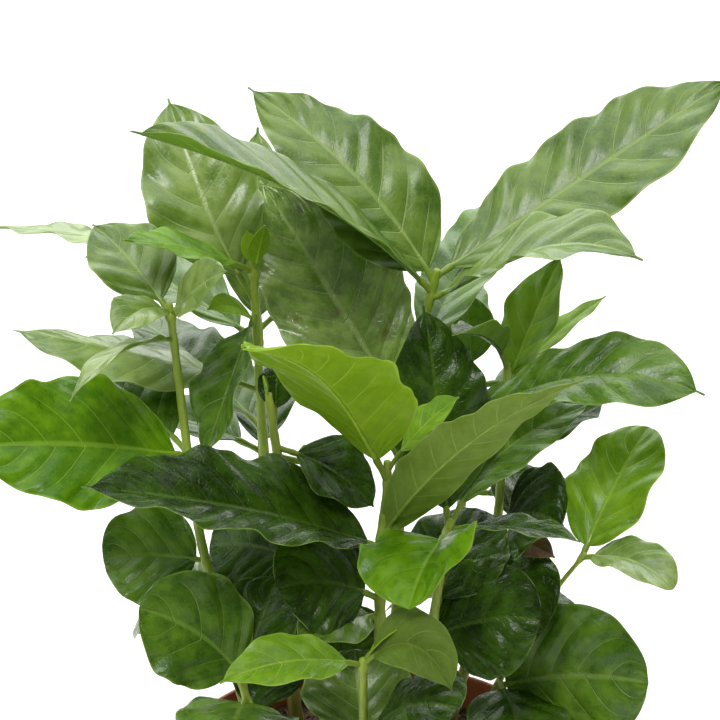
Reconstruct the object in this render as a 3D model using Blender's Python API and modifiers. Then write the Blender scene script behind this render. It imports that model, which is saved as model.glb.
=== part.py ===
"""A pot of young coffee plants: twelve seedlings with opposite leaves, in one nursery pot.

Lengths are in millimetres here and become metres when a mesh is made. +X is right, -Y is the front, +Z is up,
and the origin is the middle of the pot's flat underside.
"""

import math

import bmesh
import bpy
import numpy as np

MM = 0.001
WELD = 0.001  # points nearer than this are one
CLEAR = 0.3  # air kept between pieces that touch
SHARP_ANGLE = 35

# Pot: a tapering wall under an upright rim band
POT_HEIGHT = 105.0
RIM_RADIUS = 60.0
RIM_BAND = 14.0
RIM_STEP = 2.6
RIM_TAPER = 0.6
SHOULDER = POT_HEIGHT - RIM_BAND
BASE_RADIUS = 42.5
BASE_EDGE = 1.0
WALL = 1.6
FLOOR = 2.2
POT_STEPS = 48
POT_COLOUR = (0.42, 0.12, 0.055)
POT_ROUGHNESS = 0.42

# Drain holes in the floor
DRAIN_COUNT = 6
DRAIN_RADIUS = 3.5
DRAIN_CIRCLE = 27.0
DRAIN_SIDES = 16

# Soil
SOIL_TOP = 97.0
SOIL_COLOUR = (0.05, 0.028, 0.02)
SOIL_ROUGHNESS = 0.95

# Stems
FOOT_HEIGHT = 2.5
ROOT_FLARE = 1.35
TIP_RADIUS = 1.15
STEM_RINGS = 6
TWIG_RING = 12.0
STEM_COLOUR = (0.19, 0.20, 0.06)
STEM_ROUGHNESS = 0.55

# Leaves
LEAF_THICKNESS = 1.2
LEAF_ROW = 15.0
PETIOLE_HALF_WIDTH = 0.9
TIP_HALF_WIDTH = 0.4
DRIP_START = 0.97
DRIP_SHARE = 0.09
WAVE_SHARE = 0.045
WAVE_LENGTH = 32.0
LEAF_PHASE = 2.4
SIDE_PHASE = 2.1
LEAF_COLOURS = {"crown": (0.10, 0.22, 0.045), "seed_leaves": (0.025, 0.075, 0.02)}
LEAF_ROUGHNESS = 0.3


def leaf(height, heading, rise, reach, width, arch, **more):
    """A leaf that leaves the stem at a height, and whose tip is reach away.

    heading: 0 to the right, 90 to the back, -90 to the front
    rise: how far the line from root to tip points above level
    arch, sway: how far the rib is lifted off that line, and pushed to its left, in its first and last third
    roll, twist: turn of the blade about its rib at the root, and what is added by the tip
    fold, cup: each half of the blade turned up at the rib, and curved down again
    broad: where along the blade it is widest
    """
    made = dict(height=height, heading=heading, rise=rise, reach=reach, width=width, arch=arch, kind="long",
                sway=(0, 0), petiole=8.0, broad=0.45, roll=0.0, twist=0.0, fold=14.0, cup=0.05)
    if more.get("kind") == "round":
        made.update(petiole=6.0, fold=5.0, cup=0.10)
    if more.get("kind") == "young":
        made.update(petiole=3.0)
    made.update(more)
    return made


# Each seedling: the points its stem passes, its radius at the soil (and at its tip, if not TIP_RADIUS), where
# its lower and upper masses start, and the leaves of each. The seed leaves are the round ones.
SEEDLINGS = {
    "tall_right": dict(
        stem=[(7, 14, 97), (9, 12, 164), (10, 8, 206), (18, 8, 252), (20, 8, 261)],
        radius=2.1,
        masses={
            "crown": (188, [
                leaf(198, -146, 50, 37, 22, (4, 4), roll=-20),
                leaf(207, -14, 14, 94, 27, (5, 22), roll=8, twist=32, petiole=18, broad=0.72),
                leaf(216, 151, 52, 83, 43, (0, 3), roll=-48, petiole=8, broad=0.36, sway=(2, 3)),
                leaf(232, 67, 19, 90, 25, (4, 6)),
                leaf(252, -25, 18, 70, 34, (5, 17), roll=10, fold=18, petiole=4, broad=0.58),
                leaf(254, -157, 33, 111, 34, (12, 8), roll=-13, twist=8, petiole=5, broad=0.56),
                leaf(257, 149, 38, 83, 36, (12, 10), roll=-34, fold=6, petiole=4, broad=0.28, sway=(3, 6)),
                leaf(259, 17, 30, 108, 36, (0, 0), roll=30, fold=10, petiole=5, broad=0.52),
            ]),
        },
    ),
    "tall_left": dict(
        stem=[(-22, 15, 97), (-29, 14, 163), (-33, 12, 211), (-34, 12, 236), (-35, 12, 264)],
        radius=2.1,
        masses={
            "crown": (200, [
                leaf(208, 120, 5, 92, 30, (4, 6)),
                leaf(221, 178, 14, 77, 25, (4, 2), roll=-12, fold=-14),
                leaf(246, -131, -59, 46, 26, (8, 5), roll=14, petiole=4, broad=0.5, fold=24, sway=(6, 5)),
                leaf(243, -134, 25, 22, 10, (3, 4), roll=-30, kind="young"),
                leaf(250, 131, 53, 68, 36, (1, 4), roll=-28, petiole=9, broad=0.42, sway=(6, 6)),
                leaf(259, -142, 23, 50, 17, (3, 3), roll=-16, fold=10),
                leaf(260, 152, -1, 97, 25, (2, 4), roll=8, fold=8),
                leaf(259, -63, 65, 19, 7, (0, 0), kind="young"),
                leaf(259, 111, 62, 13, 6, (0, 0), kind="young"),
            ]),
        },
    ),
    "centre": dict(
        stem=[(3, -12, 97), (3, -20, 166), (3, -24, 186), (5, -25, 207), (5, -25, 213)],
        radius=2.3,
        masses={
            "seed_leaves": (152, [
                leaf(166, -155, 17, 35, 36, (4, 6), roll=-55, kind="round"),
                leaf(160, -138, 3, 33, 22, (3, 4), roll=-20, petiole=4),
            ]),
            "crown": (178, [
                leaf(185, -166, 18, 93, 41, (5, 3), roll=-18, fold=22, petiole=4, broad=0.41),
                leaf(188, -34, 44, 93, 20, (8, 8), roll=-70, twist=40, petiole=2, broad=0.34),
                leaf(207, -128, 43, 88, 48, (11, 14), roll=10, sway=(-4, 2)),
                leaf(210, -14, 50, 33, 14, (2, 2), roll=30),
            ]),
        },
    ),
    "left": dict(
        stem=[(-34, 0, 97), (-48, -10, 167), (-50, -12, 177), (-55, -8, 213), (-57, -8, 235), (-59, -8, 256)],
        radius=1.8,
        masses={
            "seed_leaves": (162, [
                leaf(170, 129, -39, 53, 24, (2, 3), roll=-40, kind="round"),
                leaf(175, 170, -4, 32, 32, (2, 3), roll=-55, kind="round", petiole=3, fold=16),
            ]),
            "crown": (198, [
                leaf(208, -162, 9, 71, 43, (3, 4), roll=-48, petiole=4),
                leaf(209, 131, 14, 53, 26, (3, 4), roll=-5),
                leaf(245, -133, -11, 42, 14, (8, 8), roll=20, petiole=3),
                leaf(253, -128, 2, 25, 16, (6, 5), roll=-16, petiole=3),
                leaf(253, -52, 36, 36, 17, (1, 2), roll=60, petiole=3),
                leaf(253, 139, 33, 38, 27, (2, 3), roll=-18, petiole=5),
            ]),
        },
    ),
    "front": dict(
        stem=[(-2, -41, 97), (-2, -48, 138), (-2, -51, 154), (-2, -52, 162)],
        radius=1.6,
        masses={
            "crown": (124, [
                leaf(130, 98, 50, 30, 34, (2, 2), kind="round"),
                leaf(131, -38, 34, 42, 34, (8, 8), roll=24, kind="round"),
                leaf(160, -153, 6, 46, 19, (5, 6), roll=-24, petiole=5),
                leaf(160, -24, -5, 28, 22, (14, 15), roll=40, petiole=3, fold=30),
                leaf(161, -4, 45, 20, 6, (2, 2), kind="young"),
            ]),
        },
    ),
    "far_right": dict(
        stem=[(28, 2, 97), (39, 8, 120), (50, 10, 142), (57, 4, 157), (65, -11, 177)],
        radius=1.1,
        tip=0.65,
        masses={
            "seed_leaves": (118, [
                leaf(124, -80, -12, 50, 32, (4, 6), kind="round"),
                leaf(122, -30, 16, 54, 45, (4, 4), roll=80, kind="round", petiole=4),
            ]),
            "crown": (164, [
                leaf(175, 48, 46, 46, 30, (2, 3), kind="round", fold=12, petiole=4),
                leaf(175, -36, -3, 32, 19, (5, 7), roll=12, kind="round", fold=20, petiole=4),
            ]),
        },
    ),
    "right": dict(
        stem=[(24, 14, 97), (40, 15, 180), (41, 16, 203), (42, 16, 228)],
        radius=1.9,
        masses={
            "seed_leaves": (144, [
                leaf(149, -47, 0, 27, 41, (3, 4), roll=66, kind="round", petiole=3),
                leaf(153, 142, -24, 40, 26, (3, 4), kind="round"),
            ]),
            "crown": (166, [
                leaf(171, -36, -3, 22, 11, (2, 2), roll=30, kind="young"),
                leaf(173, 48, 5, 41, 40, (3, 4)),
                leaf(176, -37, 12, 25, 34, (4, 5), roll=45, petiole=5),
                leaf(196, 57, 3, 56, 30, (2, 4)),
                leaf(221, 30, 64, 43, 24, (0, 0), roll=6, petiole=4),
                leaf(222, 30, 31, 42, 10, (2, 2)),
                leaf(226, -118, 32, 45, 16, (9, 5), roll=10, fold=30),
            ]),
        },
    ),
    "inner_right": dict(
        stem=[(16, -9, 97), (20, -18, 165), (23, -20, 186), (24, -20, 192)],
        radius=2.0,
        masses={
            "seed_leaves": (142, [
                leaf(152, -10, 14, 34, 37, (3, 4), roll=64, kind="round", petiole=3),
                leaf(159, 62, 40, 38, 34, (3, 3), kind="round"),
            ]),
            "crown": (175, [
                leaf(189, -108, -11, 41, 42, (3, 6), roll=16, kind="round", fold=30, petiole=8),
                leaf(188, 107, 68, 68, 33, (2, 5), petiole=7),
                leaf(189, 36, 27, 61, 19, (10, 6), roll=20, sway=(4, 4)),
                leaf(189, -31, 8, 44, 14, (4, 3), fold=16),
            ]),
        },
    ),
    "inner_left": dict(
        stem=[(-11, -8, 97), (-21, -12, 175), (-28, -14, 214), (-30, -14, 230)],
        radius=2.1,
        masses={
            "seed_leaves": (122, [
                leaf(132, -165, 34, 36, 34, (2, 3), roll=-58, kind="round"),
                leaf(132, 18, 34, 27, 28, (2, 3), roll=58, kind="round"),
                leaf(162, 143, -17, 44, 26, (3, 4), roll=-50, kind="round"),
                leaf(175, 145, -7, 35, 30, (3, 4), roll=-50, kind="round"),
            ]),
            "crown": (203, [
                leaf(213, -8, -31, 34, 26, (4, 4), roll=24, petiole=6),
                leaf(210, 36, -38, 38, 26, (4, 4), roll=10),
                leaf(217, 80, 70, 22, 12, (1, 1)),
                leaf(227, 180, 78, 9, 6, (0, 0), kind="young"),
            ]),
        },
    ),
    "front_left": dict(
        stem=[(-24, -18, 97), (-37, -30, 137), (-39, -32, 148)],
        radius=1.7,
        masses={
            "crown": (128, [
                leaf(137, -97, 5, 37, 36, (4, 5), roll=-5, kind="round"),
                leaf(137, 155, -42, 38, 24, (3, 3), kind="round"),
                leaf(146, -170, 40, 39, 35, (5, 5), roll=-62, kind="round", petiole=3, cup=-0.08),
                leaf(144, 55, 56, 34, 32, (2, 2)),
            ]),
        },
    ),
    "back_left": dict(
        stem=[(-24, 34, 97), (-31, 42, 150), (-35, 50, 205), (-35, 53, 228)],
        radius=2.0,
        masses={
            "seed_leaves": (134, [
                leaf(142, 164, -7, 34, 34, (4, 5), kind="round"),
                leaf(142, 64, -7, 46, 34, (4, 5), kind="round"),
            ]),
            "crown": (178, [
                leaf(186, 156, 2, 56, 32, (6, 8)),
                leaf(183, 94, 5, 70, 26, (8, 10)),
                leaf(222, 91, 71, 68, 28, (3, 3), roll=-20),
                leaf(222, 151, 15, 68, 34, (4, 8)),
                leaf(226, 38, 19, 74, 30, (4, 8)),
            ]),
        },
    ),
    "back_right": dict(
        stem=[(22, 34, 97), (28, 44, 150), (32, 52, 195), (33, 54, 213)],
        radius=2.0,
        masses={
            "seed_leaves": (128, [
                leaf(136, -2, -10, 46, 34, (4, 5), kind="round"),
                leaf(136, 78, -7, 48, 34, (4, 5), kind="round"),
            ]),
            "crown": (164, [
                leaf(172, 6, -18, 54, 32, (4, 7)),
                leaf(172, 94, -4, 64, 34, (8, 10)),
                leaf(206, 100, 69, 31, 17, (3, 3)),
                leaf(206, 18, -1, 52, 28, (2, 3)),
                leaf(210, 95, 10, 67, 20, (6, 10)),
            ]),
        },
    ),
}


def clear_scene():
    for obj in list(bpy.data.objects):
        bpy.data.objects.remove(obj, do_unlink=True)


def material(name, colour, roughness):
    made = bpy.data.materials.new(name)
    made.use_nodes = True
    shader = made.node_tree.nodes["Principled BSDF"]
    shader.inputs["Base Color"].default_value = (*colour, 1.0)
    shader.inputs["Roughness"].default_value = roughness
    shader.inputs["Metallic"].default_value = 0.0
    made.diffuse_color = (*colour, 1.0)
    return made


def add_object(name, mesh, collection):
    obj = bpy.data.objects.new(name, mesh)
    collection.objects.link(obj)
    return obj


def paint(obj, colour, roughness):
    """Gives an object its one material, named after it."""
    obj.data.materials.clear()
    obj.data.materials.append(material(obj.name, colour, roughness))


def smooth(mesh):
    mesh.shade_smooth()
    mesh.set_sharp_from_angle(angle=math.radians(SHARP_ANGLE))


def as_mesh(obj, name):
    """The evaluated mesh of an object, with any loose caps joined on."""
    bpy.context.view_layer.update()
    graph = bpy.context.evaluated_depsgraph_get()
    mesh = bpy.data.meshes.new_from_object(obj.evaluated_get(graph))
    mesh.name = name
    work = bmesh.new()
    work.from_mesh(mesh)
    bmesh.ops.remove_doubles(work, verts=work.verts, dist=WELD * MM)
    work.to_mesh(mesh)
    work.free()
    return mesh


def stem_point(path, height):
    """The stem's middle at a height: a cubic between two of its points, with each point's mean slope."""
    path = np.array(path, float)
    z = path[:, 2]
    slope = np.gradient(path[:, :2], z, axis=0)
    low = int(np.clip(np.searchsorted(z, height) - 1, 0, len(z) - 2))
    span = z[low + 1] - z[low]
    t = (height - z[low]) / span
    start = path[low, :2] * (2 * t**3 - 3 * t**2 + 1) + slope[low] * span * (t**3 - 2 * t**2 + t)
    end = path[low + 1, :2] * (3 * t**2 - 2 * t**3) + slope[low + 1] * span * (t**3 - t**2)
    return np.array([*(start + end), height])


def stem_radius(seedling, height):
    """Tapers evenly from the soil to the tip."""
    top = seedling["stem"][-1][2]
    share = (height - SOIL_TOP) / (top - SOIL_TOP)
    return seedling["radius"] + (seedling.get("tip", TIP_RADIUS) - seedling["radius"]) * share


def half_width(spec, q):
    """Half the blade's width as a share of its greatest, with q 0 at the petiole and 1 at the tip.

    A round leaf is an ellipse. Any other one swells to its broad point, and ends in a narrow drip tip.
    """
    if spec["kind"] == "round":
        return np.clip(4 * q * (1 - q), 0, 1) ** 0.5
    side = np.where(q < spec["broad"], spec["broad"], DRIP_START - spec["broad"])
    body = np.clip(1 - (np.abs(q - spec["broad"]) / side) ** 2.1, 0, 1) ** 0.85
    drip_tip = np.where(q > spec["broad"], DRIP_SHARE * (1 - q) ** 0.6, 0)
    return np.maximum(body, drip_tip)


def leaf_rib(spec, root, s):
    """Points, side and upper directions along the rib, a cubic curve with its middle lifted off the chord."""
    heading = math.radians(spec["heading"])
    rise = math.radians(spec["rise"])
    level = np.array([-math.sin(heading), math.cos(heading), 0.0])
    ahead = np.array([math.cos(heading), math.sin(heading), 0.0])
    chord = spec["reach"] * (ahead * math.cos(rise) + np.array([0.0, 0.0, math.sin(rise)]))
    lift = np.cross(chord, level) / spec["reach"]
    near = root + chord / 3 + lift * spec["arch"][0] + level * spec["sway"][0]
    far = root + chord * 2 / 3 + lift * spec["arch"][1] + level * spec["sway"][1]
    tip = root + chord
    s = s[:, None]
    points = root * (1 - s) ** 3 + 3 * near * s * (1 - s) ** 2 + 3 * far * s**2 * (1 - s) + tip * s**3
    forward = (near - root) * (1 - s) ** 2 + 2 * (far - near) * s * (1 - s) + (tip - far) * s**2
    forward /= np.linalg.norm(forward, axis=1)[:, None]
    side = level - forward * (forward @ level)[:, None]
    side /= np.linalg.norm(side, axis=1)[:, None]
    upper = np.cross(forward, side)
    turn = np.radians(spec["roll"] + spec["twist"] * s)
    return points, np.cos(turn) * side + np.sin(turn) * upper, np.cos(turn) * upper - np.sin(turn) * side


def leaf_surface(spec, root, order, rows, columns):
    """Grid over petiole and blade: out along the side by the half width, lifted by fold, cup and edge waves."""
    s = np.linspace(0, 1, rows + 1)
    v = np.linspace(-1, 1, columns + 1)[None, :]
    points, side, upper = leaf_rib(spec, root, s)
    petiole = spec["petiole"] / spec["reach"]
    q = np.clip((s - petiole) / (1 - petiole), 0, 1)
    least = PETIOLE_HALF_WIDTH + (TIP_HALF_WIDTH - PETIOLE_HALF_WIDTH) * s
    half = np.maximum(spec["width"] / 2 * half_width(spec, q), least)[:, None]
    q = q[:, None]
    phase = LEAF_PHASE * order + SIDE_PHASE * (v > 0)
    turns = 1 + spec["reach"] / WAVE_LENGTH
    wave = WAVE_SHARE * spec["width"] * np.sin(np.pi * q) ** 0.5 * np.sin(math.tau * turns * q + phase)
    fold = math.radians(spec["fold"])
    lift = half * (math.sin(fold) * np.abs(v) - spec["cup"] * v**2) + wave * v**2
    out = v * half * math.cos(fold)
    return points[:, None] + side[:, None] * out[..., None] + upper[:, None] * lift[..., None]


def leaf_object(name, spec, root, order, collection):
    """The leaf as an open sheet, one strip each side of its rib, given its thickness by Solidify."""
    rows = round(3 + spec["reach"] / LEAF_ROW)
    columns = 2
    grid = leaf_surface(spec, root, order, rows, columns)
    index = np.arange((rows + 1) * (columns + 1)).reshape(rows + 1, columns + 1)
    corners = [index[:-1, :-1], index[1:, :-1], index[1:, 1:], index[:-1, 1:]]
    sheet = bpy.data.meshes.new(name)
    quads = np.stack(corners, axis=-1).reshape(-1, 4)
    sheet.from_pydata((grid.reshape(-1, 3) * MM).tolist(), [], quads.tolist())
    obj = add_object(name, sheet, collection)
    wall = obj.modifiers.new("thickness", "SOLIDIFY")
    wall.thickness = LEAF_THICKNESS * MM
    wall.offset = 0.0
    return obj


def tube_mesh(name, points, radii):
    """A tapering tube of eight sides with closed ends."""
    curve = bpy.data.curves.new(name, "CURVE")
    curve.dimensions = "3D"
    curve.bevel_depth = MM
    curve.bevel_resolution = 2
    curve.use_fill_caps = True
    line = curve.splines.new("POLY")
    line.points.add(len(points) - 1)
    for spot, point, radius in zip(line.points, points, radii):
        spot.co = (*(point * MM), 1.0)
        spot.radius = radius
    guide = bpy.data.objects.new(name, curve)
    bpy.context.scene.collection.objects.link(guide)
    mesh = as_mesh(guide, name)
    bpy.data.objects.remove(guide, do_unlink=True)
    return mesh


def bare_stem(name, seedling, end, collection):
    """From a flat cut on the soil, flared there, up to just below the first mass."""
    foot = SOIL_TOP + CLEAR
    heights = np.append(foot, np.linspace(foot + FOOT_HEIGHT, end - CLEAR, STEM_RINGS))
    points = np.array([stem_point(seedling["stem"], height) for height in heights])
    points[0, :2] = points[1, :2]
    radii = [stem_radius(seedling, height) for height in heights]
    radii[0] *= ROOT_FLARE
    stem = add_object(name, tube_mesh(name, points, radii), collection)
    paint(stem, STEM_COLOUR, STEM_ROUGHNESS)
    smooth(stem.data)


def leafy_mass(name, seedling, start, end, leaves, colour, collection):
    """A length of stem with its leaves, joined into one solid by one union."""
    rings = max(3, round((end - start) / TWIG_RING) + 1)
    heights = np.linspace(start, end, rings)
    points = np.array([stem_point(seedling["stem"], height) for height in heights])
    radii = [stem_radius(seedling, height) for height in heights]
    twig = add_object(name, tube_mesh(name, points, radii), collection)
    blades = bpy.data.collections.new(name + "_blades")
    bpy.context.scene.collection.children.link(blades)
    for order, spec in enumerate(leaves):
        root = stem_point(seedling["stem"], spec["height"])
        leaf_object(f"{name}_blade_{order}", spec, root, order, blades)
    join = twig.modifiers.new("leaves", "BOOLEAN")
    join.operation = "UNION"
    join.operand_type = "COLLECTION"
    join.collection = blades
    joined = as_mesh(twig, name)
    twig.modifiers.remove(join)
    twig.data = joined
    paint(twig, colour, LEAF_ROUGHNESS)
    smooth(joined)
    for blade in list(blades.objects):
        bpy.data.objects.remove(blade, do_unlink=True)
    bpy.data.collections.remove(blades)


def turned(name, profile, collection):
    """A profile of radius and height turned once round the upright axis."""
    mesh = bpy.data.meshes.new(name)
    points = [(radius * MM, 0.0, height * MM) for radius, height in profile]
    mesh.from_pydata(points, [(i, i + 1) for i in range(len(points) - 1)], [])
    obj = add_object(name, mesh, collection)
    spin = obj.modifiers.new("turn", "SCREW")
    spin.axis = "Z"
    spin.angle = math.tau
    spin.steps = POT_STEPS
    spin.render_steps = POT_STEPS
    spin.use_merge_vertices = True
    spin.merge_threshold = WELD * MM
    return obj


def inner_radius(height):
    """Inner radius of the pot's straight wall, which widens evenly from the base to the rim band."""
    low = BASE_RADIUS - WALL
    high = RIM_RADIUS - RIM_STEP - WALL
    return low + (high - low) * height / SHOULDER


def pot(collection, cutters):
    profile = [
        (0, FLOOR),
        (inner_radius(FLOOR), FLOOR),
        (inner_radius(SHOULDER), SHOULDER),
        (RIM_RADIUS - RIM_TAPER - WALL, SHOULDER + WALL),
        (RIM_RADIUS - WALL, POT_HEIGHT),
        (RIM_RADIUS, POT_HEIGHT),
        (RIM_RADIUS - RIM_TAPER, SHOULDER),
        (inner_radius(SHOULDER) + WALL, SHOULDER),
        (BASE_RADIUS, BASE_EDGE),
        (BASE_RADIUS - BASE_EDGE, 0),
        (0, 0),
    ]
    shell = turned("pot", profile, collection)
    paint(shell, POT_COLOUR, POT_ROUGHNESS)
    for k in range(DRAIN_COUNT):
        turn = math.tau * k / DRAIN_COUNT
        bpy.ops.mesh.primitive_cylinder_add(
            vertices=DRAIN_SIDES,
            radius=DRAIN_RADIUS * MM,
            depth=4 * FLOOR * MM,
            location=(DRAIN_CIRCLE * math.cos(turn) * MM, DRAIN_CIRCLE * math.sin(turn) * MM, 0),
        )
        drill = bpy.context.object
        drill.name = f"drain_{k}"
        for other in list(drill.users_collection):
            other.objects.unlink(drill)
        cutters.objects.link(drill)
        drill.hide_render = True
        drill.display_type = "WIRE"
        cut = shell.modifiers.new(drill.name, "BOOLEAN")
        cut.operation = "DIFFERENCE"
        cut.object = drill


def soil(collection):
    low = FLOOR + CLEAR
    profile = [
        (0, SOIL_TOP),
        (inner_radius(SHOULDER) - CLEAR, SOIL_TOP),
        (inner_radius(SHOULDER) - CLEAR, SHOULDER),
        (inner_radius(low) - CLEAR, low),
        (0, low),
    ]
    paint(turned("soil", profile, collection), SOIL_COLOUR, SOIL_ROUGHNESS)


def main():
    clear_scene()
    plant = bpy.data.collections.new("potted_coffee_plant")
    cutters = bpy.data.collections.new("cutters")
    bpy.context.scene.collection.children.link(plant)
    bpy.context.scene.collection.children.link(cutters)
    pot(plant, cutters)
    soil(plant)
    for place, seedling in SEEDLINGS.items():
        starts = [start for start, _ in seedling["masses"].values()]
        bare_stem(f"stem_{place}", seedling, starts[0], plant)
        ends = [start - CLEAR for start in starts[1:]] + [seedling["stem"][-1][2]]
        for (part, (start, leaves)), end in zip(seedling["masses"].items(), ends):
            leafy_mass(f"{part}_{place}", seedling, start, end, leaves, LEAF_COLOURS[part], plant)


main()
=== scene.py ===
# A pot of young coffee plants: twelve seedlings with glossy opposite leaves in one nursery pot
# Lengths are in millimetres until a mesh is made, +X is right, -Y is the front, +Z is up
import math

import bpy
import numpy as np
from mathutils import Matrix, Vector


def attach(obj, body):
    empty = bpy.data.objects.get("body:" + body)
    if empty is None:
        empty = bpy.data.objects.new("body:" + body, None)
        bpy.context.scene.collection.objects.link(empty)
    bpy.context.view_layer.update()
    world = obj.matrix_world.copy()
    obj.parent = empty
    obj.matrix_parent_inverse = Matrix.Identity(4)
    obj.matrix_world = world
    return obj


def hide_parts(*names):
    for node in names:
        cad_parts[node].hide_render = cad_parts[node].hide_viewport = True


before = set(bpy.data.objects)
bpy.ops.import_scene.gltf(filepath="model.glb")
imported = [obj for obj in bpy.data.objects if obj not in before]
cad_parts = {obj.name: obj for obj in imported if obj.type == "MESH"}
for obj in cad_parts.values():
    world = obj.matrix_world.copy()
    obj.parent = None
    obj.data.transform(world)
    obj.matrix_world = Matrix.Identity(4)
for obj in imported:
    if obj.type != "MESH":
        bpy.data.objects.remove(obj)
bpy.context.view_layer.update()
mm = 0.001
rng = np.random.default_rng(11)
print("frame loaded with", len(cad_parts), "nodes")


# meshes from arrays

def paint(red, green, blue):
    # a screen colour of 0 to 255 as the linear colour that a shader takes
    c = np.array([red, green, blue]) / 255
    return (*np.where(c < 0.04045, c / 12.92, ((c + 0.055) / 1.055) ** 2.4), 1.0)


def arrayMesh(name, materials, points, quads, slots=None, uv=None, sharp=60):
    # points in mm, quads as four indices each, slots one material number per quad, uv one pair per point
    mesh = bpy.data.meshes.new(name)
    count = len(quads)
    mesh.vertices.add(len(points))
    mesh.vertices.foreach_set("co", (points * mm).astype(np.float32).ravel())
    mesh.loops.add(count * 4)
    mesh.loops.foreach_set("vertex_index", quads.astype(np.int32).ravel())
    mesh.polygons.add(count)
    mesh.polygons.foreach_set("loop_start", np.arange(0, count * 4, 4, dtype=np.int32))
    if slots is not None:
        mesh.polygons.foreach_set("material_index", slots.astype(np.int32))
    if uv is not None:
        layer = mesh.uv_layers.new(name="UVMap")
        layer.uv.foreach_set("vector", uv[quads.ravel()].astype(np.float32).ravel())
    mesh.update(calc_edges=True)
    mesh.validate()
    mesh.shade_smooth()
    mesh.set_sharp_from_angle(angle=math.radians(sharp))
    for material in materials:
        mesh.materials.append(material)
    piece = bpy.data.objects.new(name, mesh)
    bpy.context.scene.collection.objects.link(piece)
    return piece


def ringQuads(rings, sides):
    # the quads between closed rings that follow one another
    index = np.arange(rings * sides).reshape(rings, sides)
    nextSide = np.roll(index, -1, axis=1)
    return np.stack([index[:-1], index[1:], nextSide[1:], nextSide[:-1]], axis=-1).reshape(-1, 4)


def joined(parts):
    # several (points, quads, slots, uv) as one set
    starts = np.cumsum([0] + [len(p[0]) for p in parts[:-1]])
    points = np.concatenate([p[0] for p in parts])
    quads = np.concatenate([p[1] + s for p, s in zip(parts, starts)])
    slots = np.concatenate([p[2] for p in parts])
    uv = np.concatenate([p[3] for p in parts])
    return points, quads, slots, uv


def tube(path, radii, sides):
    # a circle of each radius carried along the path, square to it, and closed by three more rings at each end
    forward = np.gradient(path, axis=0)
    forward /= np.linalg.norm(forward, axis=1)[:, None]
    lean = np.abs(forward).mean(0)
    side = np.cross(forward, np.eye(3)[int(np.argmin(lean))])
    side /= np.linalg.norm(side, axis=1)[:, None]
    other = np.cross(forward, side)
    lead = np.array([0.01, 0.55, 0.9])  # their radii, outermost first, where 1 is the end's own
    back = np.array([0.5, 0.4, 0.21])  # how far beyond the end they stand
    centres = np.concatenate([path[0] - forward[0] * (back * radii[0])[:, None], path,
                              path[-1] + forward[-1] * (back[::-1] * radii[-1])[:, None]])
    wide = np.concatenate([lead * radii[0], radii, lead[::-1] * radii[-1]])
    side = np.concatenate([side[:1].repeat(3, 0), side, side[-1:].repeat(3, 0)])
    other = np.concatenate([other[:1].repeat(3, 0), other, other[-1:].repeat(3, 0)])
    turn = np.linspace(0, math.tau, sides, endpoint=False)
    ring = np.cos(turn)[None, :, None] * side[:, None] + np.sin(turn)[None, :, None] * other[:, None]
    points = centres[:, None] + ring * wide[:, None, None]
    run = np.concatenate([[0], np.cumsum(np.linalg.norm(np.diff(centres, axis=0), axis=1))])
    uv = np.stack(np.broadcast_arrays(turn[None, :] / math.tau, run[:, None] / 10), axis=-1)
    quads = ringQuads(len(centres), sides)
    return points.reshape(-1, 3), quads, np.zeros(len(quads), int), uv.reshape(-1, 2)


# shader groups and materials

def newGroup(name, inputs):
    # a group that puts out a colour, a roughness and a height for a bump
    group = bpy.data.node_groups.new(name, "ShaderNodeTree")
    for label, kind, value in inputs:
        socket = group.interface.new_socket(name=label, in_out="INPUT", socket_type="NodeSocket" + kind)
        if value is not None:
            socket.default_value = value
    for label, kind in (("Color", "Color"), ("Roughness", "Float"), ("Height", "Float")):
        group.interface.new_socket(name=label, in_out="OUTPUT", socket_type="NodeSocket" + kind)
    return group, group.nodes.new("NodeGroupInput").outputs, group.nodes.new("NodeGroupOutput").inputs


def node(tree, kind, settings=None, **sockets):
    # a node with its settings, and its inputs set to a value or linked to a socket
    made = tree.nodes.new("ShaderNode" + kind)
    for key, value in (settings or {}).items():
        setattr(made, key, value)
    for key, value in sockets.items():
        target = made.inputs[int(key[1:])] if key[0] == "i" and key[1:].isdigit() else made.inputs[key]
        if isinstance(value, bpy.types.NodeSocket):
            tree.links.new(value, target)
        else:
            target.default_value = value
    return made


def maths(tree, operation, first, second=0.0):
    return node(tree, "Math", {"operation": operation}, i0=first, i1=second).outputs[0]


def times(tree, first, second):
    return maths(tree, "MULTIPLY", first, second)


def plus(tree, first, second):
    return maths(tree, "ADD", first, second)


def mixed(tree, share, first, second):
    return node(tree, "Mix", {"data_type": "RGBA"}, i0=share, i6=first, i7=second).outputs[2]


def noise(tree, point, scale, detail=3.0, roughness=0.55):
    return node(tree, "TexNoise", Vector=point, Scale=scale, Detail=detail, Roughness=roughness).outputs[0]


def spread(tree, value, low, high, newLow=0.0, newHigh=1.0):
    return node(tree, "MapRange", {"interpolation_type": "SMOOTHSTEP"}, i0=value, i1=low, i2=high,
                i3=newLow, i4=newHigh).outputs[0]


skinForm = {
    # across the blade, 0 is the rib and 1 the margin; along it, 1 is the way from one side vein to the next
    "midrib": (0.02, 0.06), "margin": (0.95, 0.985),  # where one pale band ends and the other starts
    "edgeShare": 0.55,  # how pale both are
    "vein": 0.04, "veinFade": (0.45, 0.95), "veinDepth": 0.6,  # half its width, its outer end, its furrow
    "paintedVeinShade": 0.72,  # painted shade past each side vein: how light the flesh is just past it, up to 1 halfway to the next
    "streaks": (5.0, 2.4, 1.0),  # noise across the blade, and from vein to vein; it swells the bump and paints light and dark streaks on the flesh
    "clouds": 55.0, "grain": 260.0, "blotches": 75.0, "contrast": (0.38, 0.62),  # noise in a metre
    "net": 620.0, "netWidth": 0.12, "netShare": 0.16, "netDepth": 0.08,  # the finest veins, in a metre
    "worn": (104, 74, 34),
}


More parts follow.
